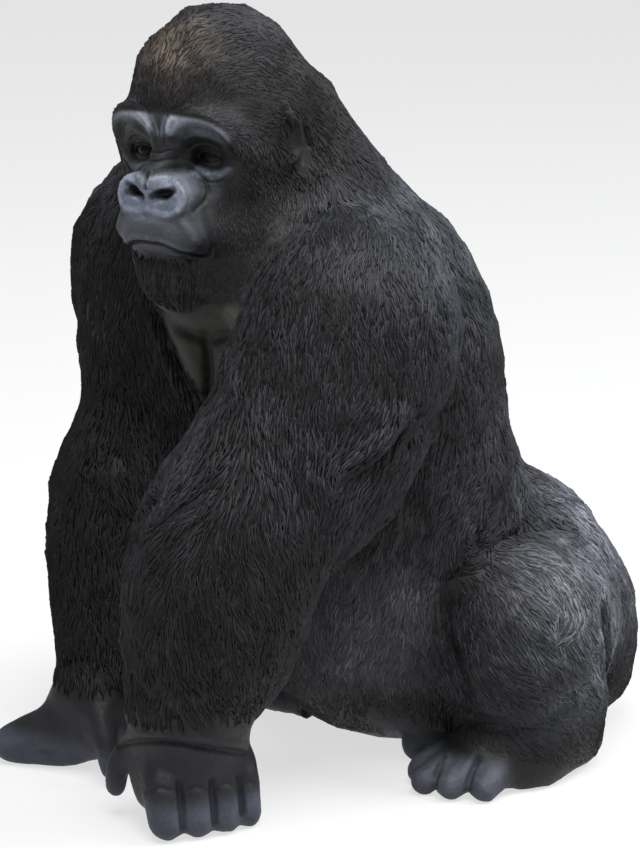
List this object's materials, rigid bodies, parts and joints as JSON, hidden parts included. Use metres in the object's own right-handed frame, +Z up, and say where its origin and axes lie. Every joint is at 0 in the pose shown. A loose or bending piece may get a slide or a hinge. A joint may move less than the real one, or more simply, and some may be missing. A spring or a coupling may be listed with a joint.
{
  "type": "gorilla figurine",
  "caption": "Seated silverback gorilla sculpture leaning on its knuckles, cast in resin and painted charcoal grey.",
  "frame": {"origin": "middle of the bounding box, on the surface the figurine stands on", "axes": "+Z up, the gorilla faces -Y and its own left side is +X"},
  "size_m": [0.2844, 0.3338, 0.3971],
  "materials": {
    "painted_resin": "hand-painted matt charcoal with pale dry-brushed fur"
  },
  "bodies": {
    "root": {"gorilla_figurine": "painted_resin"}
  },
  "joints": []
}
